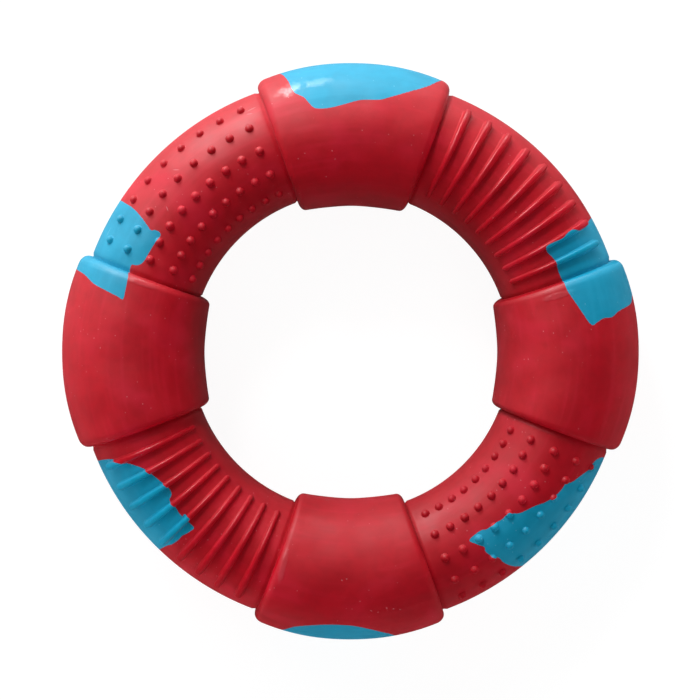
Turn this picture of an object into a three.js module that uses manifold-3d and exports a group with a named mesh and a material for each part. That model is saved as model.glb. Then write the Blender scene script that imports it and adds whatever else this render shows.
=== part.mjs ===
import * as THREE from "three";
import { mergeGeometries, mergeVertices } from "three/addons/utils/BufferGeometryUtils.js";
import Module from "manifold-3d";

// A hollow rubber pet toy ring that lies flat: two red half shells bonded at the middle plane, and
// six blue inlays that wrap over the outer rim and bridge the bond.
// Lengths are millimetres and angles are degrees. The ring's axis is +Z and z = 0 is the surface
// that it rests on. A ring angle runs round the ring from +X. A section angle runs round the tube,
// from the front crown at 0 over the outer rim at 90 to the back crown at 180.

// Tube
const RING_RADIUS = 56.6; // the ring's axis to the middle of the tube
const TUBE_RADIUS = 15.05; // on the textured stretches between the collars
const WALL = 6;

// Smooth collars, slightly barrel-shaped, with a flat stretch in the middle that the ring rests on
const COLLAR_COUNT = 4;
const COLLAR_HALF_ANGLE = 20;
const COLLAR_RADIUS = 18.4;
const COLLAR_EDGE_RADIUS = 17.7;
const COLLAR_LAND_HALF_ANGLE = 4;
const COLLAR_SHOULDER = 1.5; // rounding where the collar's end meets its outside

// Nubs and ribs stand in columns on the stretches between the collars
const COLUMN_COUNT = 9;
const COLUMN_PITCH = 5;

const NUB_SECTION_ANGLES = [-50, -25, 0, 25, 50];
const NUB_DIAMETER = 2.1;
const NUB_HEIGHT = 1.2;

const RIB_INNER_ANGLE = -53;
const RIB_OUTER_ANGLE = 50;
const RIB_INNER_WIDTH = 1.2;
const RIB_OUTER_WIDTH = 2.4;
const RIB_CREST_WIDTH = 0.6;
const RIB_HEIGHT = 1.3;
const RIB_END_HEIGHT = 0.8;

// Inlays
const INLAY_THICKNESS = 2.2;
const INLAY_CLEARANCE = 0.3; // to the pocket that holds it, on every side

// Facets: an even count of sides, turned so that the crowns and the rim are flat faces
const TUBE_SIDES = 16;
const HOLLOW_SIDES = 8;
const HOLLOW_STEPS = 28;
const NUB_SIDES = 5;
const NUB_RINGS = 4;
const OUTLINE_STEP = 15; // the longest stretch of an inlay's outline that stays straight
const ROOT_DEPTH = 0.4; // how far nubs and ribs reach into the tube

const MIDDLE_HEIGHT = COLLAR_RADIUS; // the bond lies level with the middle of the tube
const COLLAR_PITCH = 360 / COLLAR_COUNT;
// Tube radii of an inlay cutter's levels: well past every surface, just over the relief, just under
// the inlay's seat and inside the hollow. They run inwards, which keeps the faces the right way round.
const CUTTER_LEVELS = [40, COLLAR_RADIUS + RIB_HEIGHT, TUBE_RADIUS - INLAY_THICKNESS - 1, 3];

const RED_RUBBER = new THREE.MeshStandardMaterial({ color: 0xb41a2b, roughness: 0.48, metalness: 0 });
const BLUE_RUBBER = new THREE.MeshStandardMaterial({ color: 0x1b8fb8, roughness: 0.48, metalness: 0 });

// The outlines of the blue areas, as [ring angle, section angle]. The front one starts and ends on
// the rim, and the back one returns from there.
const INLAYS = [
  {
    name: "blue_inlay_top",
    front: [
      [72.2, 90], [74.8, 53], [78.2, 40], [82.3, 30], [88, 25], [95.8, 19], [99.1, 20.5], [101, 29],
      [103.2, 42], [105, 90],
    ],
    back: [[104, 118], [98, 140], [91, 133], [84, 146], [76, 122]],
  },
  {
    name: "blue_inlay_upper_left",
    front: [
      [147, 90], [146.7, 50], [147.8, 21], [148.4, 2.5], [155.7, 4.5], [158.4, 14.5], [161, 11.5],
      [166.3, 9.2], [165.6, 26], [163.7, 54], [163.3, 90],
    ],
    back: [[164, 115], [161, 141], [156, 134], [151, 148], [147.5, 120]],
  },
  {
    name: "blue_inlay_upper_right",
    front: [
      [12.6, 90], [10.4, 50], [9, 26], [7.9, 13.5], [12.7, 4.7], [17.9, -0.9], [24.2, -0.9],
      [29.4, -3.4], [29.9, 14.5], [30.3, 27], [29.2, 44], [30, 90],
    ],
    back: [[30.5, 118], [26, 133], [22, 127], [17, 143], [13, 117]],
  },
  {
    name: "blue_inlay_lower_left",
    front: [
      [203.4, 90], [203.6, 48], [206.3, 24], [211.5, 9], [216.6, 3.2], [219, 10], [223.2, 10.6],
      [225, 6.2], [227.5, 11], [227, 30], [226.1, 90],
    ],
    back: [[227, 112], [223, 136], [216, 128], [209, 142], [204, 116]],
  },
  {
    name: "blue_inlay_bottom",
    front: [[255.8, 90], [257.5, 62], [262, 47], [267.8, 42.5], [273.3, 47.5], [277.4, 60], [279.5, 90]],
    back: [[281, 122], [276, 143], [268, 150], [260, 141], [255, 118]],
  },
  {
    name: "blue_inlay_lower_right",
    front: [
      [309.8, 90], [307, 46], [304.9, 20], [303, -3.6], [308.1, -3.2], [314.9, -1.5], [317.4, 8],
      [323.1, 20], [329, 27.3], [334.2, 45], [337.7, 58], [337.9, 90],
    ],
    back: [[338, 116], [332, 137], [325, 129], [317, 145], [310, 121]],
  },
];

const wasm = await Module();
wasm.setup();

const { degToRad, radToDeg, lerp, inverseLerp } = THREE.MathUtils;

function toSolid(...geometries) {
  for (const geometry of geometries) {
    geometry.deleteAttribute("normal");
    geometry.deleteAttribute("uv");
  }
  const merged = mergeVertices(mergeGeometries(geometries));
  const vertProperties = new Float32Array(merged.attributes.position.array);
  const triVerts = new Uint32Array(merged.index.array);
  return new wasm.Manifold(new wasm.Mesh({ numProp: 3, vertProperties, triVerts }));
}

function toMesh(name, solid, material) {
  const { numProp, vertProperties, triVerts } = solid.getMesh();
  const positions = new THREE.InterleavedBufferAttribute(
    new THREE.InterleavedBuffer(vertProperties, numProp), 3, 0,
  );
  const geometry = new THREE.BufferGeometry();
  geometry.setAttribute("position", positions);
  geometry.setIndex(new THREE.BufferAttribute(triVerts, 1));
  const mesh = new THREE.Mesh(geometry, material);
  mesh.name = name;
  return mesh;
}

// The tube's own directions at a place on it: along the ring, out of the surface and round the section.
function tubeFrame(ringAngle, sectionAngle) {
  const ring = degToRad(ringAngle);
  const section = degToRad(sectionAngle);
  const outwards = new THREE.Vector3(Math.cos(ring), Math.sin(ring), 0);
  const up = new THREE.Vector3(0, 0, 1);
  return {
    along: new THREE.Vector3(-Math.sin(ring), Math.cos(ring), 0),
    normal: up.clone().multiplyScalar(Math.cos(section)).addScaledVector(outwards, Math.sin(section)),
    round: outwards.clone().multiplyScalar(Math.cos(section)).addScaledVector(up, -Math.sin(section)),
    middle: outwards.clone().multiplyScalar(RING_RADIUS).addScaledVector(up, MIDDLE_HEIGHT),
  };
}

function tubePoint(ringAngle, sectionAngle, radius) {
  const { middle, normal } = tubeFrame(ringAngle, sectionAngle);
  return middle.addScaledVector(normal, radius);
}

function reshape(geometry, place) {
  const position = geometry.attributes.position;
  const vertex = new THREE.Vector3();
  for (let i = 0; i < position.count; i++) {
    vertex.fromBufferAttribute(position, i);
    position.setXYZ(i, ...place(vertex, i).toArray());
  }
  return geometry;
}

// One half of a collar's profile, from its middle to its foot, as ring angle and tube radius. The
// surface is moved inwards by depth, and so is the collar's end.
function halfCollar(depth) {
  const onCentreLine = (length) => radToDeg(length / RING_RADIUS);
  const end = COLLAR_HALF_ANGLE - onCentreLine(depth);
  const edge = end - onCentreLine(COLLAR_SHOULDER);
  const profile = [
    [COLLAR_LAND_HALF_ANGLE, COLLAR_RADIUS],
    [edge, COLLAR_EDGE_RADIUS],
    [end, COLLAR_EDGE_RADIUS - COLLAR_SHOULDER],
    [end, TUBE_RADIUS],
  ];
  return profile.map(([angle, radius]) => ({ angle, radius: radius - depth }));
}

// All the sections round the ring, for its outside moved inwards by depth.
function ringStations(depth) {
  const half = halfCollar(depth);
  const mirrored = half.map(({ angle, radius }) => ({ angle: -angle, radius })).reverse();
  const stations = [];
  for (let collar = 0; collar < COLLAR_COUNT; collar++) {
    const turn = ({ angle, radius }) => ({ angle: angle + collar * COLLAR_PITCH, radius });
    stations.push(...mirrored.map(turn), turn({ angle: 0, radius: COLLAR_RADIUS - depth }), ...half.map(turn));
    for (const column of columnAngles(collar).slice(1)) {
      stations.push({ angle: column - COLUMN_PITCH / 2, radius: TUBE_RADIUS - depth });
    }
  }
  return stations;
}

function columnAngles(stretch) {
  const middle = (stretch + 0.5) * COLLAR_PITCH;
  const column = (i) => middle + (i - (COLUMN_COUNT - 1) / 2) * COLUMN_PITCH;
  return Array.from({ length: COLUMN_COUNT }, (_, i) => column(i));
}

// A torus whose sections take the stations' places and radii. Each radius is the one to the flats.
function ringSolid(stations) {
  const facet = 360 / TUBE_SIDES;
  const torus = new THREE.TorusGeometry(RING_RADIUS, 1, TUBE_SIDES, stations.length);
  const rowLength = stations.length + 1;
  return toSolid(
    reshape(torus, (_, i) => {
      const { angle, radius } = stations[(i % rowLength) % stations.length];
      const side = Math.floor(i / rowLength) % TUBE_SIDES;
      const sectionAngle = 90 - (side + 0.5) * facet;
      return tubePoint(angle, sectionAngle, radius / Math.cos(degToRad(facet / 2)));
    }),
  );
}

function hollow() {
  const torus = new THREE.TorusGeometry(RING_RADIUS, TUBE_RADIUS - WALL, HOLLOW_SIDES, HOLLOW_STEPS);
  return toSolid(torus.translate(0, 0, MIDDLE_HEIGHT));
}

// The section angle's counterpart on the back of the ring.
function onFace(face, sectionAngle) {
  return face === "front" ? sectionAngle : 180 - sectionAngle;
}

function nub(ringAngle, sectionAngle) {
  const { middle, along, normal, round } = tubeFrame(ringAngle, sectionAngle);
  const foot = middle.addScaledVector(normal, TUBE_RADIUS - ROOT_DEPTH);
  const dome = new THREE.SphereGeometry(1, NUB_SIDES, NUB_RINGS);
  return reshape(dome, ({ x, y, z }) =>
    foot
      .clone()
      .addScaledVector(along, (x * NUB_DIAMETER) / 2)
      .addScaledVector(normal, y * (NUB_HEIGHT + ROOT_DEPTH))
      .addScaledVector(round, (z * NUB_DIAMETER) / 2),
  );
}

// The section angles of a rib's steps: its ends and the tube's facet edges between them.
function ribSteps() {
  const facet = 360 / TUBE_SIDES;
  const steps = [RIB_INNER_ANGLE];
  for (let edge = -180 + facet / 2; edge < RIB_OUTER_ANGLE; edge += facet) {
    if (edge > RIB_INNER_ANGLE) steps.push(edge);
  }
  return [...steps, RIB_OUTER_ANGLE];
}

// A wedge that runs over the crown and widens outwards. Its crest is lower at each end.
function rib(ringAngle, face) {
  const steps = face === "front" ? ribSteps() : ribSteps().reverse();
  const bar = new THREE.BoxGeometry(1, 1, 1, 1, 1, steps.length - 1);
  return reshape(bar, ({ x, y, z }) => {
    const step = steps[Math.round((z + 0.5) * (steps.length - 1))];
    const share = inverseLerp(RIB_INNER_ANGLE, RIB_OUTER_ANGLE, step);
    const crest = share === 0 || share === 1 ? RIB_END_HEIGHT : RIB_HEIGHT;
    const sectionAngle = onFace(face, step);
    const width = y > 0 ? RIB_CREST_WIDTH : lerp(RIB_INNER_WIDTH, RIB_OUTER_WIDTH, share);
    const { middle, along, normal } = tubeFrame(ringAngle, sectionAngle);
    return middle
      .addScaledVector(normal, TUBE_RADIUS + (y > 0 ? crest : -ROOT_DEPTH))
      .addScaledVector(along, x * width);
  });
}

// Ribs and nubs take turns on the stretches: ribs at upper right, nubs at upper left, and so on.
function relief() {
  const pieces = [];
  for (const face of ["front", "back"]) {
    for (let stretch = 0; stretch < COLLAR_COUNT; stretch++) {
      for (const angle of columnAngles(stretch)) {
        if (stretch % 2 === 0) pieces.push(rib(angle, face));
        else pieces.push(...NUB_SECTION_ANGLES.map((section) => nub(angle, onFace(face, section))));
      }
    }
  }
  return toSolid(...pieces);
}

// The outline moved outwards by a distance along the tube's surface.
function grow(outline, distance) {
  return outline.map(([angle, section], i) => {
    const reach = RING_RADIUS + TUBE_RADIUS * Math.sin(degToRad(section));
    const scale = new THREE.Vector2(degToRad(reach), degToRad(TUBE_RADIUS));
    const edgeNormal = ([fromAngle, fromSection], [toAngle, toSection]) => {
      const edge = new THREE.Vector2(toAngle - fromAngle, toSection - fromSection).multiply(scale);
      return new THREE.Vector2(edge.y, -edge.x).normalize();
    };
    const before = edgeNormal(outline.at(i - 1), outline[i]);
    const after = edgeNormal(outline[i], outline[(i + 1) % outline.length]);
    const mitre = distance / Math.max(0.6, 1 + before.dot(after));
    const shift = before.add(after).multiplyScalar(mitre).divide(scale);
    return [angle + shift.x, section === 90 ? 90 : section + shift.y];
  });
}

// The outline with its long edges split, so that its walls follow the tube's roundness.
function refine(outline) {
  return outline.flatMap(([angle, section], i) => {
    const [nextAngle, nextSection] = outline[(i + 1) % outline.length];
    const pieces = Math.ceil(Math.max(Math.abs(nextSection - section), 1) / OUTLINE_STEP);
    const cut = (k) => [lerp(angle, nextAngle, k / pieces), lerp(section, nextSection, k / pieces)];
    return Array.from({ length: pieces }, (_, k) => cut(k));
  });
}

// A solid whose walls stand square to the tube all along the outline.
function outlineCutter(outline) {
  const shape = new THREE.Shape(outline.map(([angle, section]) => new THREE.Vector2(angle, section)));
  const steps = CUTTER_LEVELS.length - 1;
  const slab = new THREE.ExtrudeGeometry(shape, { depth: steps, steps, bevelEnabled: false });
  return toSolid(reshape(slab, ({ x, y, z }) => tubePoint(x, y, CUTTER_LEVELS[Math.round(z)])));
}

function inlayCutter({ front, back }, clearance) {
  const loop = grow(refine([...front, ...back]), clearance);
  const frontHalf = loop.filter(([, section]) => section <= 90);
  const backHalf = [...loop.filter(([, section]) => section > 90), frontHalf[0]];
  backHalf.unshift(frontHalf.at(-1));
  return outlineCutter(frontHalf).add(outlineCutter(backHalf));
}

function halfSpace(sign) {
  const size = 4 * RING_RADIUS;
  const box = new THREE.BoxGeometry(size, size, size);
  return toSolid(box.translate(0, 0, MIDDLE_HEIGHT + (sign * size) / 2));
}

const outside = ringSolid(ringStations(0)).add(relief());
const inlaySeat = ringSolid(ringStations(INLAY_THICKNESS));
const pocketFloor = ringSolid(ringStations(INLAY_THICKNESS + INLAY_CLEARANCE));

let shells = outside.subtract(hollow());
const toyRing = new THREE.Group();
for (const inlay of INLAYS) {
  shells = shells.subtract(inlayCutter(inlay, INLAY_CLEARANCE).subtract(pocketFloor));
  const piece = outside.intersect(inlayCutter(inlay, 0)).subtract(inlaySeat);
  toyRing.add(toMesh(inlay.name, piece, BLUE_RUBBER));
}
toyRing.add(toMesh("front_half_shell", shells.intersect(halfSpace(1)), RED_RUBBER));
toyRing.add(toMesh("back_half_shell", shells.intersect(halfSpace(-1)), RED_RUBBER));

export default toyRing;
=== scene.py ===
"""A two-colour rubber chew ring that lies on a white table.

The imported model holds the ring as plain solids: two red half shells and six blue inlays. Here each
one gets its finished form: barrel-shaped collars with soft shoulders, domed nubs, tapered ribs, the
mould's parting line and the inlays' irregular outlines. Lengths are millimetres and angles are
degrees until a point is placed, which turns it to metres. A ring angle runs round the ring from +X,
and a section angle runs round the tube from the front crown at 0 over the outer rim at 90.
"""

import logging
import math
import random
from collections.abc import Callable
from dataclasses import dataclass, field, replace
from enum import Enum
from functools import partial

import bmesh
import bpy
from bpy.types import ID, Material, NodeTree, Object, World
from bpy.types import NodeSocket as Socket
from mathutils import Color, Matrix, Vector


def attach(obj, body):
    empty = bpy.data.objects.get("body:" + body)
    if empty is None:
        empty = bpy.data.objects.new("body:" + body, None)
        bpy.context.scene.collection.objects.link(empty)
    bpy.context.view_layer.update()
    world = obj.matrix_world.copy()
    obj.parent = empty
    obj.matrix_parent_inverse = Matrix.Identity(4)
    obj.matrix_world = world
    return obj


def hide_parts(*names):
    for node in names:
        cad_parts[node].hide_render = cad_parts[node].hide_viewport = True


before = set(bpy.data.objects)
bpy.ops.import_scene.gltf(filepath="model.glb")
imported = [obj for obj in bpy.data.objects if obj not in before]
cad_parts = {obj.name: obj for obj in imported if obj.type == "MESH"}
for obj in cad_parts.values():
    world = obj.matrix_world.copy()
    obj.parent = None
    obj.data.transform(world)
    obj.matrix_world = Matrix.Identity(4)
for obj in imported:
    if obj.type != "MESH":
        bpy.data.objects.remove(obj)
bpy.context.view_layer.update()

LOG = logging.getLogger("chew_ring")
BODY = "root"
MM = 0.001
QUARTER = 90.0
SENSOR_WIDTH = 36.0
MERGE_DISTANCE = 1e-6
CHANNEL_MOST = 255

Range = tuple[float, float, float, float]
Draws = dict[tuple, tuple[float, float, float]]
Outline = tuple[tuple[float, float], ...]


class BooleanStep(Enum):
    """What a tool does to the piece that it meets."""

    CUT = "DIFFERENCE"
    KEEP = "INTERSECT"


class Texture(Enum):
    """What stands on a stretch between two collars."""

    RIBS = "ribs"
    NUBS = "nubs"


class Side(Enum):
    """The two faces of the ring."""

    FRONT = "front"
    BACK = "back"


# Small helpers


def lerp(start: float, end: float, share: float) -> float:
    """Return the value a share of the way from start to end."""
    return start + (end - start) * share


def smooth_share(share: float) -> float:
    """Return a share from 0 to 1 that leaves and arrives gently."""
    clamped = min(max(share, 0.0), 1.0)
    return clamped * clamped * (3 - 2 * clamped)


def evenly(start: float, end: float, count: int) -> list[float]:
    """List a number of evenly spaced values strictly between two ends."""
    return [lerp(start, end, (i + 1) / (count + 1)) for i in range(count)]


def linear_colour(hex_code: str) -> tuple[float, ...]:
    """Turn an sRGB hex colour to the linear values that a shader takes, with an alpha of 1."""
    srgb = Color([channel / CHANNEL_MOST for channel in bytes.fromhex(hex_code)])
    return (*srgb.from_srgb_to_scene_linear(), 1.0)


def placed(name: str, data: ID) -> Object:
    """Put a mesh, lamp or camera in the scene as an object."""
    made = bpy.data.objects.new(name, data)
    bpy.context.scene.collection.objects.link(made)
    return made


def object_from(bm: bmesh.types.BMesh, name: str) -> Object:
    """Turn a bmesh into an object in the scene.

    Args:
        bm: The finished shape, which is freed.
        name: The object's name.

    Returns:
        The new object.
    """
    mesh = bpy.data.meshes.new(name)
    bmesh.ops.recalc_face_normals(bm, faces=bm.faces)
    bm.to_mesh(mesh)
    bm.free()
    return placed(name, mesh)


def combine(piece: Object, tools: list[Object], step: BooleanStep) -> None:
    """Cut a piece by tools, or keep what it shares with them.

    Args:
        piece: The object whose mesh changes.
        tools: Closed solids.
        step: What each tool does.
    """
    for tool in tools:
        modifier = piece.modifiers.new(tool.name, "BOOLEAN")
        modifier.operation = step.value
        modifier.solver = "MANIFOLD"
        modifier.object = tool
    evaluated = piece.evaluated_get(bpy.context.evaluated_depsgraph_get())
    mesh = bpy.data.meshes.new_from_object(evaluated)
    piece.modifiers.clear()
    old = piece.data
    piece.data = mesh
    bpy.data.meshes.remove(old)


def discard(*objects: Object) -> None:
    """Remove helper objects and their meshes."""
    for thing in objects:
        bpy.data.meshes.remove(thing.data)


# The ring's form


@dataclass(frozen=True)
class Tube:
    """The tube that the ring is bent from."""

    ring_radius: float = 56.6
    tube_radius: float = 15.05
    wall: float = 6.0
    middle_height: float = 18.4

    def point(self, ring_angle: float, section_angle: float, radius: float) -> Vector:
        """Place a point on or in the tube.

        Args:
            ring_angle: The angle round the ring.
            section_angle: The angle round the tube.
            radius: The distance from the tube's middle.

        Returns:
            The point in metres.
        """
        ring = math.radians(ring_angle)
        section = math.radians(section_angle)
        reach = self.ring_radius + radius * math.sin(section)
        height = self.middle_height + radius * math.cos(section)
        return Vector((reach * math.cos(ring), reach * math.sin(ring), height)) * MM

    def turn_for(self, length: float, section_angle: float) -> float:
        """Return the ring angle that a length along the ring takes up on the textured surface."""
        reach = self.ring_radius + self.tube_radius * math.sin(math.radians(section_angle))
        return math.degrees(length / reach)

    def section_turn_for(self, length: float) -> float:
        """Return the section angle that a length round the textured surface takes up."""
        return math.degrees(length / self.tube_radius)


TUBE = Tube()


@dataclass(frozen=True)
class Collar:
    """A smooth raised band, slightly barrel-shaped, with soft shoulders."""

    half_angle: float = 20.0
    radius: float = 18.4
    edge_radius: float = 17.7
    land_half_angle: float = 4.0
    shoulder: float = 2.2
    shoulder_start: float = 6.0  # the slope that the barrel has where the rounding takes over
    groove_depth: float = 0.35  # below the tube's surface, at the collar's foot
    groove_width: float = 0.9
    groove_power: float = 1.5  # above 1, the groove has its steepest side at the tube
    barrel_steps: int = 11
    shoulder_steps: int = 8
    groove_steps: int = 4

    def half_profile(self, depth: float) -> list[tuple[float, float]]:
        """Trace the collar from its middle to its foot.

        Args:
            depth: How far the surface is moved inwards.

        Returns:
            Ring angles and tube radii.
        """
        per_length = math.degrees(1 / TUBE.ring_radius)
        end = self.half_angle - depth * per_length
        start = math.radians(self.shoulder_start)
        shoulder_turn = self.shoulder * per_length
        centre_angle = end - shoulder_turn
        centre_radius = self.edge_radius - self.shoulder * math.cos(start)
        barrel_end = centre_angle + shoulder_turn * math.sin(start)
        profile = []
        for i in range(self.barrel_steps + 1):
            angle = barrel_end * i / self.barrel_steps
            along = max(0.0, (angle - self.land_half_angle) / (barrel_end - self.land_half_angle))
            profile.append((angle, lerp(self.radius, self.edge_radius, along**2)))
        for i in range(1, self.shoulder_steps + 1):
            slope = lerp(start, math.pi / 2, i / self.shoulder_steps)
            angle = centre_angle + shoulder_turn * math.sin(slope)
            profile.append((angle, centre_radius + self.shoulder * math.cos(slope)))
        for i in range(self.groove_steps + 1):
            share = i / self.groove_steps
            angle = end + self.groove_width * per_length * share
            profile.append((angle, TUBE.tube_radius - self.groove_depth * (1 - share**self.groove_power)))
        return [(angle, radius - depth) for angle, radius in profile]


COLLAR = Collar()


@dataclass(frozen=True)
class BossSection:
    """A nub's or rib's section, in steps from its crown to the edge of its foot."""

    shares: tuple[float, ...]  # of the half width, foot included
    heights: tuple[float, ...]  # of the full height
    corner: float  # how square the ends are in plan: 2 is round
    end_length: float  # of each end, as a share of the foot's half width

    @property
    def steps(self) -> int:
        """Return how many steps lead from the crown to the foot."""
        return len(self.shares) - 1

    def signed(self, step: int) -> float:
        """Return the share of the half width that a signed step lies at."""
        return math.copysign(self.shares[abs(step)], step)

    def place(self, across: int, along: int) -> tuple[float, float, float]:
        """Find where two steps meet on the boss.

        Args:
            across: The signed step along the ring.
            along: The signed step round the tube.

        Returns:
            The shares of the half width along the ring and round the tube, and of the height.
        """
        index = max(abs(across), abs(along))
        if index == 0:
            return 0.0, 0.0, self.heights[0]
        x = self.signed(across)
        y = self.signed(along)
        length = (abs(x) ** self.corner + abs(y) ** self.corner) ** (1 / self.corner)
        scale = self.shares[index] / length
        return x * scale, y * scale, self.heights[index]


@dataclass(frozen=True)
class Line:
    """A line of the mesh that runs along the ring, on its front half."""

    angle: float
    anchor: float | None = None  # the section angle of the nub or rib end that it crosses
    step: int = 0
    on_rib: bool = False
    bead: float = 0.0  # height against the surface, at the parting line


@dataclass(frozen=True)
class Station:
    """A section of the mesh: where it is and which column of nubs or ribs it crosses."""

    angle: float
    radius: float
    stretch: int
    blend: float = 1.0  # from the line layout of the stretch before to this stretch's
    column: int | None = None
    step: int = 0


@dataclass(frozen=True)
class Relief:
    """The nubs and ribs between the collars."""

    column_count: int = 9
    column_pitch: float = 5.0
    nub_rows: tuple[float, ...] = (-50.0, -25.0, 0.0, 25.0, 50.0)
    nub_foot: float = 1.26  # half width, the foot's fillet and a flat rim included
    nub_height: float = 1.15
    rib_inner: float = -51.0
    rib_outer: float = 47.5
    rib_inner_foot: float = 0.78
    rib_outer_foot: float = 1.4
    rib_widening: float = 1.5  # above 1, a rib widens mostly towards its outer end
    rib_inner_height: float = 0.85
    rib_outer_height: float = 1.5
    rib_rise: float = 2.0  # at 2, a rib has its outer height from halfway along
    parting_bead: tuple[tuple[float, float], ...] = ((0.0, 0.0), (0.5, -0.06), (1.1, -0.1), (2.0, 0.0))
    edge_lines: int = 6
    gap_lines: int = 2
    nub: BossSection = BossSection(
        shares=(0.0, 0.31, 0.57, 0.75, 0.83, 0.91, 1.0),
        heights=(1.0, 0.95, 0.77, 0.47, 0.11, 0.0, 0.0),
        corner=2.0,
        end_length=1.0,
    )
    rib: BossSection = BossSection(
        shares=(0.0, 0.36, 0.50, 0.63, 0.76, 0.91, 1.0),
        heights=(1.0, 0.99, 0.90, 0.57, 0.16, 0.0, 0.0),
        corner=3.0,
        end_length=0.8,
    )

    def edge_of_half(self, reach: float) -> list[Line]:
        """List the parting line's lines and plain ones, from the rim to the nubs' or ribs' reach."""
        bead = [Line(QUARTER - offset, bead=height) for offset, height in self.parting_bead]
        return bead + [Line(angle) for angle in evenly(bead[-1].angle, reach, self.edge_lines)]

    def half_layout(self, texture: Texture) -> list[Line]:
        """Lay out the lines of the front half.

        Args:
            texture: What stands on the stretch.

        Returns:
            Lines from the hub at -90 to the rim at 90.
        """
        middle = self.nub_lines() if texture is Texture.NUBS else self.rib_lines()
        rim = self.edge_of_half(middle[-1].angle)
        hub = [Line(-line.angle, bead=line.bead) for line in self.edge_of_half(-middle[0].angle)]
        return hub + middle + rim[::-1]

    def nub_lines(self) -> list[Line]:
        """List the lines that cross the rows of nubs, with some between the rows.

        Returns:
            Lines from the innermost row to the outermost.
        """
        half_turn = TUBE.section_turn_for(self.nub_foot)
        lines: list[Line] = []
        for row in self.nub_rows:
            if lines:
                lines += [Line(a) for a in evenly(lines[-1].angle, row - half_turn, self.gap_lines)]
            for step in range(-self.nub.steps, self.nub.steps + 1):
                lines.append(Line(row + half_turn * self.nub.signed(step), anchor=row, step=step))
        return lines

    def rib_lines(self) -> list[Line]:
        """List as many lines as the nubs have, crossing the ribs from end to end.

        Returns:
            Lines from the ribs' inner ends to their outer ends.
        """
        steps = self.rib.steps
        ends = []
        for angle, foot, crossed in (
            (self.rib_inner, self.rib_inner_foot, range(-steps, 1)),
            (self.rib_outer, self.rib_outer_foot, range(steps + 1)),
        ):
            turn = TUBE.section_turn_for(foot * self.rib.end_length)
            ends.append([Line(angle + turn * self.rib.signed(k), angle, k, on_rib=True) for k in crossed])
        inner, outer = ends
        count = len(self.nub_lines()) - len(inner) - len(outer)
        body = [Line(a, on_rib=True) for a in evenly(self.rib_inner, self.rib_outer, count)]
        return inner + body + outer

    def along_rib(self, section_angle: float) -> float:
        """Return the share of a rib's length that a section angle lies at."""
        return (section_angle - self.rib_inner) / (self.rib_outer - self.rib_inner)

    def rib_foot(self, section_angle: float) -> float:
        """Return a rib's half width, foot included, at a section angle."""
        widening = min(max(self.along_rib(section_angle), 0.0), 1.0) ** self.rib_widening
        return lerp(self.rib_inner_foot, self.rib_outer_foot, widening)

    def rib_height(self, section_angle: float) -> float:
        """Return a rib's height at a section angle."""
        risen = smooth_share(self.rib_rise * self.along_rib(section_angle))
        return lerp(self.rib_inner_height, self.rib_outer_height, risen)

    def columns(self, stretch: int) -> list[float]:
        """Return the ring angles of a stretch's columns."""
        middle = (stretch + 0.5) * QUARTER
        first = middle - (self.column_count - 1) / 2 * self.column_pitch
        return [first + i * self.column_pitch for i in range(self.column_count)]


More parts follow.
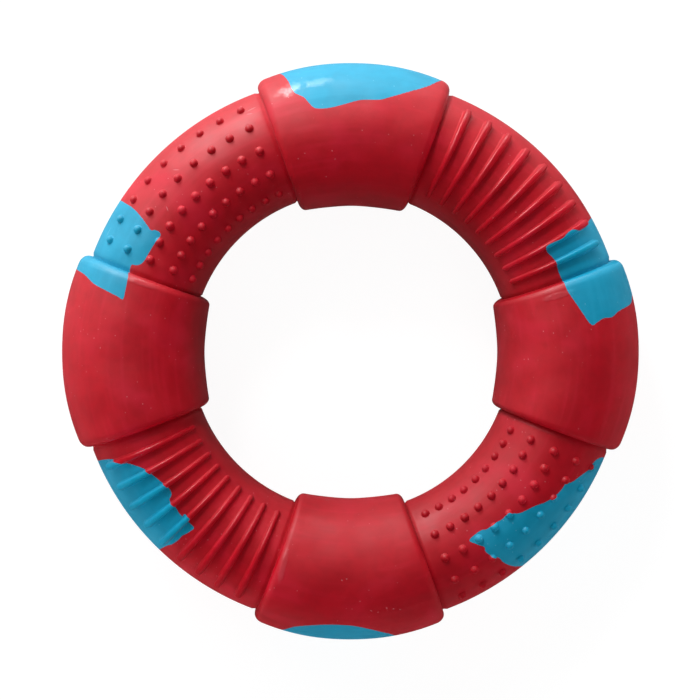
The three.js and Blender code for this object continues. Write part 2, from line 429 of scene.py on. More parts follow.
@dataclass
class RingBody:
    """The moulded ring before its colours are parted."""

    depth: float = 0.0  # how far the surface is moved inwards, where it is smooth
    relief: Relief = Relief()
    stretches: tuple[Texture, ...] = (Texture.RIBS, Texture.NUBS, Texture.RIBS, Texture.NUBS)
    foot_lines: int = 3
    height_spread: float = 0.06  # how much the nubs' and ribs' heights differ, as a share
    place_spread: float = 0.07  # how far they stand from their places
    seed: int = 11
    layouts: list[list[Line]] = field(default_factory=list)  # each stretch's lines on the front half
    draws: Draws = field(default_factory=dict)  # each boss's own height and small shift

    def stations(self) -> list[Station]:
        """List the sections round the ring.

        Returns:
            The sections, from the start of the first collar.
        """
        listed = []
        half = COLLAR.half_profile(self.depth)
        profile = [(-angle, radius) for angle, radius in half[:0:-1]] + half
        plain_radius = TUBE.tube_radius - self.depth
        steps = self.relief.nub.steps
        for stretch in range(len(self.stretches)):
            middle = stretch * QUARTER
            for angle, radius in profile:
                blend = smooth_share((angle / COLLAR.half_angle + 1) / 2)
                listed.append(Station(middle + angle, radius, stretch, blend))
            columns = self.relief.columns(stretch)
            width = TUBE.turn_for(self.relief.nub_foot, 0)
            collar_end = middle + profile[-1][0]
            starting = evenly(collar_end, columns[0] - width, self.foot_lines)
            listed += [Station(angle, plain_radius, stretch) for angle in starting]
            for column, angle in enumerate(columns):
                for step in range(-steps, steps + 1):
                    listed.append(Station(angle, plain_radius, stretch, column=column, step=step))
                listed.append(Station(angle + self.relief.column_pitch / 2, plain_radius, stretch))
            listed.pop()
            next_collar = middle + QUARTER + profile[0][0]
            ending = evenly(columns[-1] + width, next_collar, self.foot_lines)
            listed += [Station(angle, plain_radius, stretch) for angle in ending]
        return listed

    def build(self, name: str) -> Object:
        """Wrap a grid round the ring and shape every section of it.

        Args:
            name: The object's name.

        Returns:
            The closed ring.
        """
        self.layouts = [self.relief.half_layout(texture) for texture in self.stretches]
        self.draws = self.draw_variations()
        stations = self.stations()
        half_count = len(self.layouts[0]) - 1
        around = len(stations)
        bm = bmesh.new()
        bmesh.ops.create_grid(bm, x_segments=around, y_segments=2 * half_count, size=1)
        for vertex in bm.verts:
            station = stations[round((vertex.co.x + 1) / 2 * around) % around]
            index = round((vertex.co.y + 1) * half_count) % (2 * half_count)
            vertex.co = self.surface_point(station, index)
        bmesh.ops.remove_doubles(bm, verts=bm.verts[:], dist=MERGE_DISTANCE)
        return object_from(bm, name)

    def draw_variations(self) -> Draws:
        """Draw each boss's own height and small shift, in a fixed order.

        Returns:
            The share of the height and the two shifts, by side, stretch, column and row.
        """
        draw = random.Random(self.seed)
        spread = self.place_spread
        drawn = {}
        for side in Side:
            for stretch in range(len(self.stretches)):
                for column in range(self.relief.column_count):
                    for row in (*self.relief.nub_rows, None):
                        height = 1 - self.height_spread * draw.random()
                        shift = (draw.uniform(-spread, spread), draw.uniform(-spread, spread))
                        drawn[side, stretch, column, row] = (height, *shift)
        return drawn

    def surface_point(self, station: Station, index: int) -> Vector:
        """Place one vertex of the ring.

        Args:
            station: The section that it is on.
            index: The line, counted from the hub over the front to the rim and on to the back.

        Returns:
            The vertex's place in metres.
        """
        half_count = len(self.layouts[0]) - 1
        side = Side.FRONT if index <= half_count else Side.BACK
        row = index if side is Side.FRONT else 2 * half_count - index
        line = self.layouts[station.stretch][row]
        before = self.layouts[station.stretch - 1][row]
        section_angle = lerp(before.angle, line.angle, station.blend)
        ring_angle = station.angle
        height = line.bead
        if station.column is not None:
            offset, section_angle, height = self.boss_point(station, line, side)
            ring_angle += TUBE.turn_for(offset, section_angle)
        if self.depth:
            height = 0.0
        if side is Side.BACK:
            section_angle = 2 * QUARTER - section_angle
        return TUBE.point(ring_angle, section_angle, station.radius + height)

    def boss_point(self, station: Station, line: Line, side: Side) -> tuple[float, float, float]:
        """Find where a line crosses a column of nubs or a rib.

        Args:
            station: The section, which crosses a column.
            line: The line.
            side: The half that it is on.

        Returns:
            The offset along the ring, the section angle and the height.
        """
        relief = self.relief
        is_nub = self.stretches[station.stretch] is Texture.NUBS
        boss = relief.nub if is_nub else relief.rib
        foot = relief.nub_foot if is_nub else relief.rib_foot(line.angle)
        if line.anchor is None and not line.on_rib:
            return foot * boss.signed(station.step), line.angle, line.bead
        across, along, share = boss.place(station.step, line.step)
        key = (side, station.stretch, station.column, line.anchor if is_nub else None)
        own_height, shift_across, shift_along = self.draws[key]
        full_height = relief.nub_height if is_nub else relief.rib_height(line.angle)
        start = line.angle if line.anchor is None else line.anchor
        section_angle = start + TUBE.section_turn_for(along * foot * boss.end_length + shift_along)
        return across * foot + shift_across, section_angle, share * own_height * full_height


@dataclass(frozen=True)
class Inlay:
    """A blue area: an irregular patch that wraps over the outer rim."""

    where: str
    corners: Outline  # ring and section angles, from rim to rim on the front and back on the back
    curve_steps: int = 5
    knot_power: float = 0.5  # spaces the curve's knots so that it never loops
    least_length: float = 1e-3  # between points that are one
    band: float = 6.0  # the cutter's caps are split this often, so that they follow the tube
    band_tolerance: float = 1e-4
    inner_reach: float = 8.0
    outer_reach: float = 25.0

    def outline(self) -> list[Vector]:
        """Run a smooth curve through the outline's points.

        Returns:
            Points as ring angle, section angle and zero.
        """
        points = [Vector((*corner, 0)) for corner in self.corners]
        curve = []
        for i in range(len(points)):
            corners = [points[(i + k) % len(points)] for k in (-1, 0, 1, 2)]
            curve += [self.between(corners, k / self.curve_steps) for k in range(self.curve_steps)]
        return curve

    def between(self, corners: list[Vector], share: float) -> Vector:
        """Find a point of the curve between the middle two of four points.

        Args:
            corners: The four points.
            share: How far along the curve from the second to the third it is.

        Returns:
            The point.
        """
        knots = [0.0]
        for a, b in zip(corners, corners[1:]):
            knots.append(knots[-1] + max((b - a).length, self.least_length) ** self.knot_power)
        place = lerp(knots[1], knots[2], share)
        for spans in (((0, 1), (1, 2), (2, 3)), ((0, 2), (1, 3)), ((1, 2),)):
            corners = [
                a.lerp(b, (place - knots[low]) / (knots[high] - knots[low]))
                for a, b, (low, high) in zip(corners, corners[1:], spans)
            ]
        return corners[0]

    def cutter(self) -> Object:
        """Build the solid that the outline sweeps through the tube's wall.

        Returns:
            The closed cutter.
        """
        bm = bmesh.new()
        outline = self.outline()
        bm.faces.new([bm.verts.new(point) for point in outline])
        for axis, normal in enumerate((Vector((1, 0, 0)), Vector((0, 1, 0)))):
            values = [point[axis] for point in outline]
            count = int((max(values) - min(values)) / self.band)
            for place in evenly(min(values), max(values), count):
                geometry = bm.verts[:] + bm.edges[:] + bm.faces[:]
                bmesh.ops.bisect_plane(
                    bm, geom=geometry, plane_co=normal * place, plane_no=normal, dist=self.band_tolerance
                )
        lid = bmesh.ops.extrude_face_region(bm, geom=bm.faces[:])["geom"]
        raised = {item for item in lid if isinstance(item, bmesh.types.BMVert)}
        for vertex in bm.verts:
            reach = self.outer_reach if vertex in raised else self.inner_reach
            vertex.co = TUBE.point(vertex.co.x, vertex.co.y, reach)
        bmesh.ops.triangulate(bm, faces=bm.faces[:])
        return object_from(bm, f"{self.where}_inlay_cutter")


INLAYS = (
    Inlay("top", (
        (72.2, 90), (74.8, 53), (78.2, 40), (82.3, 30), (84.8, 26), (88.8, 24.7), (92.6, 21),
        (95.8, 18.8), (97.7, 18.9), (99.1, 20), (100.6, 27), (101.3, 32), (102.9, 38), (103.7, 55),
        (105, 90), (104, 118), (98, 140), (91, 133), (84, 146), (76, 122),
    )),
    Inlay("upper_left", (
        (147, 90), (146.7, 57), (146.6, 46.5), (147, 32), (147.8, 21), (148.5, 12.4), (147.9, 9),
        (148.4, 2.2), (150.7, 3), (153.1, 3.7), (155.7, 4.4), (157, 6.4), (157.8, 10.6), (158.2, 14.5),
        (159.7, 14), (161, 11), (164.2, 9.3), (166.3, 9), (166.1, 14.6), (165.5, 26), (164.8, 40),
        (163.7, 54), (163.4, 74.5), (163.3, 90), (164, 115), (161, 141), (156, 134), (151, 148),
        (147.5, 120),
    )),
    Inlay("upper_right", (
        (12.6, 90), (12, 72), (10.9, 64.7), (9.9, 41), (8.9, 32), (9, 24), (8.3, 17.4), (7.8, 13.6),
        (8.5, 11), (10.6, 7.6), (12.7, 4.7), (15.4, 1.4), (17.9, -0.9), (19.8, -1), (22.6, -1.7),
        (24.2, -0.9), (25.7, -0.7), (27, -1.7), (28.6, -3.6), (29.7, -3), (30.1, -0.4), (30, 6.7),
        (29.8, 14.5), (30.3, 21.6), (30.3, 27.4), (29.3, 34.3), (29.2, 44), (29.5, 53), (29.9, 64),
        (30, 90), (30.5, 118), (26, 133), (22, 127), (17, 143), (13, 117),
    )),
    Inlay("lower_left", (
        (203.4, 90), (203.4, 54), (203.9, 42), (205.4, 30.4), (207.4, 19.2), (209.3, 12.5),
        (211.5, 8.8), (214.5, 4.9), (216.6, 3), (217.7, 4.4), (218.9, 10.1), (220.4, 9.4),
        (222.4, 10.7), (223.6, 10.9), (223.7, 7.5), (225.2, 6), (225.9, 10.2), (227.4, 10.3),
        (227.5, 18.3), (227, 26), (227.1, 32), (226.8, 43), (226.2, 53), (226.1, 90), (227, 112),
        (223, 136), (216, 128), (209, 142), (204, 116),
    )),
    Inlay("bottom", (
        (255.8, 90), (256.6, 70), (258.7, 54), (261.5, 47.3), (265.8, 42.5), (269.7, 42.6),
        (273.3, 47.4), (276.2, 55), (278.4, 65), (279.5, 90), (281, 122), (276, 143), (268, 150),
        (260, 141), (255, 118),
    )),
    Inlay("lower_right", (
        (309.8, 90), (308.8, 67), (307.3, 50), (306.4, 37), (306.2, 29), (305.1, 22.4), (304.5, 13.8),
        (304.9, 10.5), (303.5, 2.6), (302.9, -4.4), (306.4, -5.6), (308.1, -3), (310.7, -2.5),
        (313, -0.7), (314.9, -1.6), (315.9, 2.9), (317.2, 7.5), (320.6, 13.5), (323.1, 20.2),
        (325.5, 24.8), (327.7, 27), (329.6, 27.4), (330.1, 32.4), (332.6, 40.2), (334.6, 47.2),
        (336.3, 49.5), (337.7, 58), (337.9, 90), (338, 116), (332, 137), (325, 129), (317, 145),
        (310, 121),
    )),
)


# Finishes


def add_node(tree: NodeTree, kind: str, inputs: dict | tuple = (), **settings: object) -> Socket | None:
    """Add one node with its settings, values and links.

    Args:
        tree: The tree that the node joins.
        kind: The node's type, without the prefix that all shader nodes share.
        inputs: Values and feeding sockets, in order, or by the input's name or number.
        settings: Properties of the node.

    Returns:
        The node's first output in use, or None for a node without one.
    """
    node = tree.nodes.new(f"ShaderNode{kind}")
    for name, value in settings.items():
        setattr(node, name, value)
    feeds = inputs if isinstance(inputs, dict) else dict(enumerate(inputs))
    for key, value in feeds.items():
        if isinstance(value, Socket):
            tree.links.new(value, node.inputs[key])
        else:
            node.inputs[key].default_value = value
    return next((output for output in node.outputs if output.enabled), None)


def emptied_tree(owner: Material | World) -> NodeTree:
    """Return the node tree of a material or world, without its default nodes."""
    owner.use_nodes = True
    owner.node_tree.nodes.clear()
    return owner.node_tree


@dataclass(frozen=True)
class Scar:
    """One small mark on the surface."""

    ring_angle: float
    section_angle: float
    length: float
    width: float = 0.4
    turn: float = 0.0  # from along the ring, towards the rim
    raggedness: float = 0.0
    depth: float = 12.0  # so that it shows both on a collar and on the tube
    core: float = 0.3  # the share of its size where the mark is whole, before it fades

    def stance(self) -> tuple[Vector, Vector]:
        """Find the mark's place and turn.

        Returns:
            The centre in metres, and the Euler angles that lay X along the mark and Z outwards.
        """
        radius = (TUBE.tube_radius + COLLAR.radius) / 2
        centre = TUBE.point(self.ring_angle, self.section_angle, radius)
        outwards = (centre - TUBE.point(self.ring_angle, self.section_angle, 0)).normalized()
        ring = math.radians(self.ring_angle)
        along = Vector((-math.sin(ring), math.cos(ring), 0))
        to_rim = outwards.cross(along)
        turn = math.radians(self.turn)
        length_axis = along * math.cos(turn) - to_rim * math.sin(turn)
        axes = Matrix((length_axis, outwards.cross(length_axis), outwards)).transposed()
        return centre, Vector(axes.to_euler())


# Smoother spots where the lamps' reflection shows; the pale tint they get in the colour is a painted
# highlight
POLISHED_AND_HIGHLIGHT_SPOTS = (
    Scar(97.4, 45, 10, width=4, turn=-7, raggedness=1.0),
    Scar(103.6, 44, 10, width=6, turn=-12, raggedness=1.1),
    Scar(251.9, -2, 12, width=2.4, turn=85, raggedness=0.5),
    Scar(16.9, -9, 12, width=2.2, turn=90, raggedness=0.5),
    Scar(161.3, -2, 10, width=2.2, turn=90, raggedness=0.5),
)
SCRATCHES = (
    Scar(112.8, 46, 3.6, width=0.5, turn=-5),
    Scar(113.6, 41, 2.2, turn=20),
    Scar(114.7, 57, 1.0, width=0.8),
    Scar(134, 33, 2.6, turn=50),
    Scar(142, 12, 2.0, turn=-60),
    Scar(153.7, 60, 4.0),
    Scar(274.5, 27, 0.9, turn=40),
    Scar(276.0, 29, 0.7, turn=-30),
    Scar(278.0, 26, 1.0, turn=60),
    Scar(279.5, 28, 0.8, width=0.5),
    Scar(281.0, 30, 0.7, turn=20),
    Scar(267.5, 0, 0.8, turn=60),
    Scar(268.7, -1, 0.6, turn=10),
)


class Noise(Enum):
    """The noises in the surface, each with its features' size and its detail."""

    BLOTCHES = (12.0, 3.0)
    PATCHES = (12.0, 1.0)
    MOTTLE = (2.6, 4.0)
    WAVES = (13.0, 1.0)
    RIPPLES = (4.0, 1.0)
    GRAIN = (0.9, 2.0)  # drawn coarser than the mould's own grain, which is too fine to show
    CRINKLES = (1.3, 2.0)
    RAGGEDNESS = (1.6, 3.0)


@dataclass(frozen=True)
class MouldedRubber:
    """Natural rubber, compression moulded in one colour.

    The mould leaves it satin, neither glossy nor matt, with a faint waviness, and the bloom of fine
    wax that rises to its surface makes it paler in blotches. A range of four is a pattern's low and
    high value, and how strongly the layer shows at each. Lengths are millimetres.
    """

    name: str
    slot: str
    body_colour: str
    deep_colour: str
    bloom_colour: str
    # pale specks and scratches, and also the pale tint of the painted highlight on the polished spots
    speck_and_highlight_colour: str = "e7a0a6"
    mottling: Range = (0.35, 0.7, 0.0, 0.35)
    clouds: Range = (0.5, 0.25, 0.0, 0.5)
    bloom: Range = (0.5, 0.75, 0.0, 0.6)
    streaking: Range = (0.5, 0.75, 0.0, 0.26)
    marking: Range = (0.0, 1.0, 0.0, 0.35)
    # painted highlight: how strongly the polished spots are tinted pale
    painted_polish_highlight: Range = (0.0, 1.0, 0.0, 0.1)
    roughness: Range = (0.3, 0.7, 0.57, 0.75)  # higher where the bloom is thick
    specular: float = 0.9
    crest_roughness: float = 0.34  # rubbed smoother, so that ribs show a thin bright line
    crest_heights: tuple[float, ...] = (0.6, 1.0, 1.7, 1.9)  # above the tube
    crest_margin: float = 10.0  # between the quarters' borders and the ribs
    polished_roughness: float = 0.3
    film: float = 0.08  # share of the surface with a smoother film of wax
    film_roughness: float = 0.28
    streak_size: float = 1.4
    streak_length: float = 30.0
    speck_pitch: float = 1.9
    speck_radius: float = 0.1  # of the pitch
    speck_patches: Range = (0.45, 0.55, 0.0, 1.0)
    wave_height: float = 0.9
    ripple_height: float = 0.05
    grain_height: float = 0.012
    speck_height: float = 0.024
    crinkle_height: float = 0.14
    scratch_depth: float = 0.06

    def build(self) -> Material:
        """Make the material.

        Returns:
            The material, patterned on Object coordinates.
        """
        material = bpy.data.materials.new(self.name)
        RubberSurface(self, partial(add_node, emptied_tree(material))).build()
        return material


class RubberSurface:
    """The shader of one rubber."""

    def __init__(self, rubber: MouldedRubber, add: Callable[..., Socket]) -> None:
        """Add the noises and masks that the layers share.

        Args:
            rubber: The rubber.
            add: What adds a node to its material.
        """
        self.rubber = rubber
        self.add = add
        self.place = add("TexCoord").node.outputs["Object"]
        self.axes = add("SeparateXYZ", (self.place,)).node.outputs
        self.flat = add("VectorMath", (self.place, (1, 1, 0)), operation="MULTIPLY")
        self.reach = add("VectorMath", (self.flat,), operation="LENGTH")  # from the ring's axis
        self.noise: dict[Noise, Socket] = {}
        for kind in Noise:
            size, detail = kind.value
            inputs = {"Vector": self.place, "Scale": 1 / (size * MM), "Detail": detail}
            self.noise[kind] = add("TexNoise", inputs)
        self.specks = self.scattered()
        self.polish_and_highlight = self.marked(POLISHED_AND_HIGHLIGHT_SPOTS)
        self.scratches = self.marked(SCRATCHES)

    def build(self) -> None:
        """Join the layers in one shader."""
        rubber = self.rubber
        inputs = {
            "Base Color": self.colour(),
            "Roughness": self.roughness(),
            "Specular IOR Level": rubber.specular,
            "Coat Weight": rubber.film,
            "Coat Roughness": rubber.film_roughness,
            "Normal": self.relief(),
        }
        self.add("OutputMaterial", {"Surface": self.add("BsdfPrincipled", inputs)})

    def colour(self) -> Socket:
        """Lay mottling, clouds, bloom, streaks, marks and a painted highlight on the polished spots over
        the rubber's colour.

        Returns:
            The colour.
        """
        rubber = self.rubber
        pale = self.add("Math", (self.specks, self.scratches), operation="MAXIMUM")
        colour: object = linear_colour(rubber.body_colour)
        for pattern, span, paint in (
            (self.noise[Noise.MOTTLE], rubber.mottling, rubber.deep_colour),
            (self.noise[Noise.BLOTCHES], rubber.clouds, rubber.deep_colour),
            (self.noise[Noise.BLOTCHES], rubber.bloom, rubber.bloom_colour),
            (self.streaks(), rubber.streaking, rubber.bloom_colour),
            (pale, rubber.marking, rubber.speck_and_highlight_colour),
            # painted highlight: the polished spots tinted pale
            (self.polish_and_highlight, rubber.painted_polish_highlight, rubber.speck_and_highlight_colour),
        ):
            share = self.add("MapRange", (pattern, *span), interpolation_type="SMOOTHSTEP")
            inputs = {0: share, 6: colour, 7: linear_colour(paint)}
            colour = self.add("Mix", inputs, data_type="RGBA")
        return colour

    def roughness(self) -> Socket:
        """Roughen the bloom's blotches, and smooth the crests and polished spots.

        Returns:
            The roughness.
        """
        rubber = self.rubber
        rough = self.add("MapRange", (self.noise[Noise.BLOTCHES], *rubber.roughness))
        rough = self.add("MapRange", (self.crests(), 0.0, 1.0, rough, rubber.crest_roughness))
        return self.add("MapRange", (self.polish_and_highlight, 0.0, 1.0, rough, rubber.polished_roughness))

    def relief(self) -> Socket:
        """Raise waves, ripples, grain and specks, crinkle the polished spots and cut in scratches.

        Returns:
            The surface normal.
        """
        rubber = self.rubber
        crinkle = self.add("Math", (self.noise[Noise.CRINKLES], self.polish_and_highlight), operation="MULTIPLY")
        normal = None
        for height, depth in (
            (self.noise[Noise.WAVES], rubber.wave_height),
            (self.noise[Noise.RIPPLES], rubber.ripple_height),
            (self.noise[Noise.GRAIN], rubber.grain_height),
            (crinkle, rubber.crinkle_height),
            (self.specks, rubber.speck_height),
            (self.scratches, -rubber.scratch_depth),
        ):
            inputs = {"Height": height, "Distance": abs(depth) * MM, "Strength": 1.0}
            if normal is not None:
                inputs["Normal"] = normal
            normal = self.add("Bump", inputs, invert=depth < 0)
        return normal

    def streaks(self) -> Socket:
        """Draw noise out along the ring, as wiping leaves the wax.

        Returns:
            The noise.
        """
        rubber = self.rubber
        per_metre = 1 / (rubber.streak_size * MM)
        direction = self.add("VectorMath", (self.flat,), operation="NORMALIZE")
        turns = TUBE.ring_radius / rubber.streak_length
        around = self.add("VectorMath", {0: direction, "Scale": turns}, operation="SCALE")
        radius = self.add("Math", (self.reach, per_metre), operation="MULTIPLY")
        raised = self.add("CombineXYZ", {"Z": radius})
        inputs = {
            "Vector": self.add("VectorMath", (around, raised), operation="ADD"),
            "W": self.add("Math", (self.axes["Z"], per_metre), operation="MULTIPLY"),
            "Scale": 1.0,
            "Detail": 1.0,
        }
        return self.add("TexNoise", inputs, noise_dimensions="4D")

    def crests(self) -> Socket:
        """Find the ribs' crests by their height above the tube, in the two quarters with ribs.

        Returns:
            1 on the crests and 0 elsewhere.
        """
        rubber = self.rubber
        section = self.add("CombineXYZ", {"X": self.reach, "Z": self.axes["Z"]})
        centre = Vector((TUBE.ring_radius, 0, TUBE.middle_height)) * MM
        away = self.add("VectorMath", (section, centre), operation="DISTANCE")
        foot, crest, top, end = ((TUBE.tube_radius + height) * MM for height in rubber.crest_heights)
        quarter = self.add("Math", (self.axes["X"], self.axes["Y"]), operation="MULTIPLY")
        mask: object = 1.0
        for value, low, high in (
            (away, foot, crest),
            (away, end, top),
            (quarter, 0.0, (rubber.crest_margin * MM) ** 2),
        ):
            inputs = (value, low, high, 0.0, 1.0)
            inside = self.add("MapRange", inputs, interpolation_type="SMOOTHSTEP")
            mask = self.add("Math", (inside, mask), operation="MULTIPLY")
        return mask

    def scattered(self) -> Socket:
        """Scatter fine pits and dust specks in patches.

        Returns:
            1 on the specks and 0 elsewhere.
        """
        rubber = self.rubber
        scale = 1 / (rubber.speck_pitch * MM)
        cells = self.add("TexVoronoi", {"Vector": self.place, "Scale": scale})
        near = self.add("MapRange", (cells, rubber.speck_radius, rubber.speck_radius / 2, 0.0, 1.0))
        present = self.add("MapRange", (self.noise[Noise.PATCHES], *rubber.speck_patches))
        return self.add("Math", (near, present), operation="MULTIPLY")

    def marked(self, scars: tuple[Scar, ...]) -> Socket:
        """Place marks of one kind, with ragged edges.

        Args:
            scars: The marks.

        Returns:
            1 in the marks and 0 elsewhere.
        """
        mask: object = 0.0
        for scar in scars:
            centre, turn = scar.stance()
            size = Vector((scar.length, scar.width, scar.depth)) * MM / 2
            local = self.add("Mapping", (self.place, centre, turn, size), vector_type="TEXTURE")
            away = self.add("VectorMath", (local,), operation="LENGTH")
            inputs = (self.noise[Noise.RAGGEDNESS], scar.raggedness, away)
            uneven = self.add("Math", inputs, operation="MULTIPLY_ADD")
            slack = scar.raggedness / 2
            inputs = (uneven, 1 + slack, scar.core + slack, 0.0, 1.0)
            inside = self.add("MapRange", inputs, interpolation_type="SMOOTHSTEP")
            mask = self.add("Math", (inside, mask), operation="MAXIMUM")
        return mask


RED_RUBBER = MouldedRubber(
    name="red_moulded_natural_rubber",
    slot="red_rubber",
    body_colour="b8041b",
    deep_colour="a00314",
    bloom_colour="ca1832",
)
BLUE_RUBBER = MouldedRubber(
    name="blue_moulded_natural_rubber",
    slot="blue_rubber",
    body_colour="0394b8",
    deep_colour="0188aa",
    bloom_colour="22a0c4",
    speck_and_highlight_colour="a6dcec",
)


# The finished ring


@dataclass
class ChewRing:
    """The whole toy: two red half shells and six blue inlays."""

    body: RingBody = field(default_factory=RingBody)
    inlays: tuple[Inlay, ...] = INLAYS
    inlay_thickness: float = 2.2
    hollow_steps: int = 96
    hollow_sides: int = 32
    block_share: float = 4.0  # of the ring's radius, which holds half of the ring
    sharp_angle: float = 50.0
    pieces: list[Object] = field(default_factory=list)

    def hollow(self) -> Object:
        """Build the hollow inside the tube.

        Returns:
            A closed ring of air.
        """
        bm = bmesh.new()
        upright = Matrix.Translation((TUBE.ring_radius * MM, 0, TUBE.middle_height * MM))
        upright @= Matrix.Rotation(math.pi / 2, 4, "X")
        radius = (TUBE.tube_radius - TUBE.wall) * MM
        bmesh.ops.create_circle(bm, segments=self.hollow_sides, radius=radius, matrix=upright)
        bmesh.ops.spin(
            bm, geom=bm.edges[:], cent=(0, 0, 0), axis=(0, 0, 1), angle=math.tau,
            steps=self.hollow_steps, use_merge=True,
        )
        return object_from(bm, "hollow")

    def half_space(self, sign: int) -> Object:
        """Build a block that holds everything on one side of the bond.

        Args:
            sign: 1 for the front, -1 for the back.

        Returns:
            The block.
        """
        size = self.block_share * TUBE.ring_radius * MM
        centre = Matrix.Translation((0, 0, TUBE.middle_height * MM + sign * size / 2))
        bm = bmesh.new()
        bmesh.ops.create_cube(bm, size=size, matrix=centre)
        return object_from(bm, "half_space")

    def build(self) -> None:
        """Mould the ring, part its colours and keep the pieces."""
        outside = self.body.build("moulded_ring")
        seat = replace(self.body, depth=self.inlay_thickness).build("inlay_seat")
        cutters = []
        for inlay in self.inlays:
            cutter = inlay.cutter()
            combine(cutter, [seat], BooleanStep.CUT)
            cutters.append(cutter)
            piece = placed(f"{inlay.where}_inlay", outside.data.copy())
            combine(piece, [cutter], BooleanStep.KEEP)
            self.finish(piece, f"blue_inlay_{inlay.where}", BLUE_RUBBER)
        hollow = self.hollow()
        combine(outside, [*cutters, hollow], BooleanStep.CUT)
        for sign, side in ((1, Side.FRONT), (-1, Side.BACK)):
            block = self.half_space(sign)
            piece = placed(f"{side.value}_half", outside.data.copy())
            combine(piece, [block], BooleanStep.KEEP)
            self.finish(piece, f"{side.value}_half_shell", RED_RUBBER)
            discard(block)
        discard(outside, seat, hollow, *cutters)

    def finish(self, piece: Object, node: str, rubber: MouldedRubber) -> None:
        """Dress a piece and put it in its node's place.

        Args:
            piece: The piece.
            node: The node that it stands for.
            rubber: What it is made of.
        """
        material = bpy.data.materials.get(rubber.name) or rubber.build()
        piece.data.materials.clear()
        piece.data.materials.append(material)
        piece.data.shade_smooth()
        piece.data.set_sharp_from_angle(angle=math.radians(self.sharp_angle))
        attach(piece, BODY)
        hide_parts(node)
        self.pieces.append(piece)
        LOG.info("%s: %d faces", piece.name, len(piece.data.polygons))


# The studio


@dataclass(frozen=True)
class PhotoCamera:
    """The camera of the photograph, nearly straight above the ring."""

    distance: float = 506.1
    lens: float = 99.87
    turn_right: float = 1.66
    tilt_up: float = 2.83
    roll: float = -0.39
    aim: tuple[float, float, float] = (-0.36, 0.73, 18.4)

    def build(self) -> None:
        """Set the camera up."""
        data = bpy.data.cameras.new("photo_camera")
        data.lens = self.lens
        data.sensor_width = SENSOR_WIDTH
        camera = placed("photo_camera", data)
        view = Matrix()
        for angle, axis in ((self.turn_right, "Y"), (self.tilt_up, "X"), (self.roll, "Z")):
            view @= Matrix.Rotation(math.radians(angle), 4, axis)
        stand = view.transposed()
        place = Vector(self.aim) * MM + stand.to_3x3() @ Vector((0, 0, self.distance * MM))
        camera.matrix_world = Matrix.Translation(place) @ stand
        bpy.context.scene.camera = camera


@dataclass(frozen=True)
class Softbox:
    """A rectangular studio lamp that looks at the ring."""

    name: str
    azimuth: float  # round the ring from +X
    elevation: float
    width: float
    height: float
    power: float
    distance: float = 800.0
    mirrored: bool = True

    def build(self) -> None:
        """Hang the lamp."""
        data = bpy.data.lights.new(self.name, "AREA")
        data.shape = "RECTANGLE"
        data.size = self.width * MM
        data.size_y = self.height * MM
        data.energy = self.power
        # Rays from the rubber would find an unmirrored panel by chance otherwise
        data.cycles.use_multiple_importance_sampling = self.mirrored
        lamp = placed(self.name, data)
        lamp.visible_glossy = self.mirrored
        azimuth = math.radians(self.azimuth)
        elevation = math.radians(self.elevation)
        flat = self.distance * math.cos(elevation)
        height = self.distance * math.sin(elevation)
        place = Vector((flat * math.cos(azimuth), flat * math.sin(azimuth), height))
        lamp.location = place * MM
        lamp.rotation_euler = place.to_track_quat("Z", "Y").to_euler()


@dataclass(frozen=True)
class Panel(Softbox):
    """A panel that fills the shadows, so dim that satin rubber doesn't mirror it."""

    mirrored: bool = False


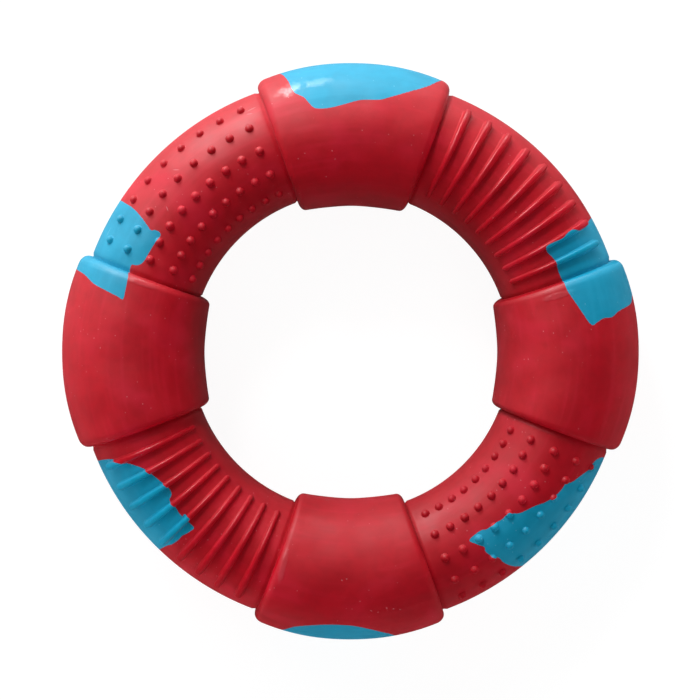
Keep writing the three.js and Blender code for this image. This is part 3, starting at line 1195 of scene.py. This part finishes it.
@dataclass(frozen=True)
class WhiteTable:
    """A light table of matt white laminate, which the camera sees as white with a soft shadow."""

    size: float = 3000.0
    colour: str = "f0f0f0"
    seen_colour: str = "6a6a6a"  # darker to the camera, so that its glow keeps it just white
    glow: float = 0.93
    light: float = 0.22  # that it gives the ring
    mirrored_light: tuple[float, float] = (0.02, 0.55)  # at the near and the far end of the sweep
    sweep: tuple[float, float] = (25.0, 105.0)  # from the ring's centre, towards the key lamp
    sweep_azimuth: float = 107.0
    mirrored_colour: str = "101010"  # darker in reflections, which satin rubber shows only faintly

    def build(self) -> None:
        """Lay the table under the ring."""
        bm = bmesh.new()
        bmesh.ops.create_grid(bm, x_segments=2, y_segments=2, size=self.size / 2 * MM)
        table = object_from(bm, "white_table")
        material = bpy.data.materials.new("white_laminate")
        add = partial(add_node, emptied_tree(material))
        rays = add("LightPath").node.outputs
        place = add("TexCoord").node.outputs["Object"]
        angle = math.radians(self.sweep_azimuth)
        towards_key = (math.cos(angle), math.sin(angle), 0)
        along = add("VectorMath", (place, towards_key), operation="DOT_PRODUCT")
        near, far = self.sweep
        mirrored = add("MapRange", (along, near * MM, far * MM, *self.mirrored_light))
        strength: object = self.light
        colour: object = linear_colour(self.colour)
        for ray, shown, paint in (
            (rays["Is Glossy Ray"], mirrored, self.mirrored_colour),
            (rays["Is Camera Ray"], self.glow, self.seen_colour),
        ):
            strength = add("MapRange", (ray, 0.0, 1.0, strength, shown))
            colour = add("Mix", {0: ray, 6: colour, 7: linear_colour(paint)}, data_type="RGBA")
        glowing = add("Emission", {"Strength": strength})
        matt = add("BsdfDiffuse", {"Color": colour})
        add("OutputMaterial", {"Surface": add("AddShader", (glowing, matt))})
        table.data.materials.append(material)


@dataclass(frozen=True)
class Surroundings:
    """The white room, which lights the ring only faintly."""

    light: float = 0.05
    seen: float = 1.0

    def build(self) -> None:
        """Set the world: white to the camera, dim as a light."""
        world = bpy.data.worlds.new("white_room")
        add = partial(add_node, emptied_tree(world))
        seen = add("LightPath").node.outputs["Is Camera Ray"]
        strength = add("MapRange", (seen, 0.0, 1.0, self.light, self.seen))
        add("OutputWorld", {"Surface": add("Background", ((1, 1, 1, 1), strength))})
        bpy.context.scene.world = world


@dataclass
class Studio:
    """The camera, lamps, table and room."""

    camera: PhotoCamera = PhotoCamera()
    table: WhiteTable = WhiteTable()
    surroundings: Surroundings = Surroundings()
    lamps: tuple[Softbox, ...] = (
        Softbox("key_softbox", azimuth=126, elevation=34, width=420, height=420, power=2.1),
        Softbox("low_softbox", azimuth=117, elevation=15, width=220, height=150, power=2.7),
        Softbox("rim_strip", azimuth=98, elevation=4, width=1000, height=100, power=2.7),
        Panel("key_fill", azimuth=108, elevation=36, width=130, height=130, power=2.3),
        Panel("ceiling_panel", azimuth=0, elevation=90, width=1400, height=1400, power=2.3, distance=900),
        Panel("front_fill", azimuth=285, elevation=45, width=500, height=300, power=0.8),
        Panel("upper_right_panel", azimuth=45, elevation=5, width=500, height=130, power=1.2),
        Panel("left_panel", azimuth=215, elevation=4, width=700, height=110, power=3.0),
        Panel("front_panel", azimuth=275, elevation=5, width=700, height=130, power=0.9),
        Panel("right_panel", azimuth=355, elevation=4, width=700, height=110, power=1.7),
    )

    def build(self) -> None:
        """Set everything up."""
        self.camera.build()
        self.table.build()
        self.surroundings.build()
        for lamp in self.lamps:
            lamp.build()
            LOG.info("lamp %s", lamp.name)
        bpy.context.scene.view_settings.view_transform = "Standard"


def main() -> None:
    """Build the studio and the ring."""
    logging.basicConfig(level=logging.INFO, format="%(message)s")
    Studio().build()
    ring = ChewRing()
    ring.build()
    LOG.info("chew ring: %d pieces", len(ring.pieces))


if __name__ == "__main__":
    main()
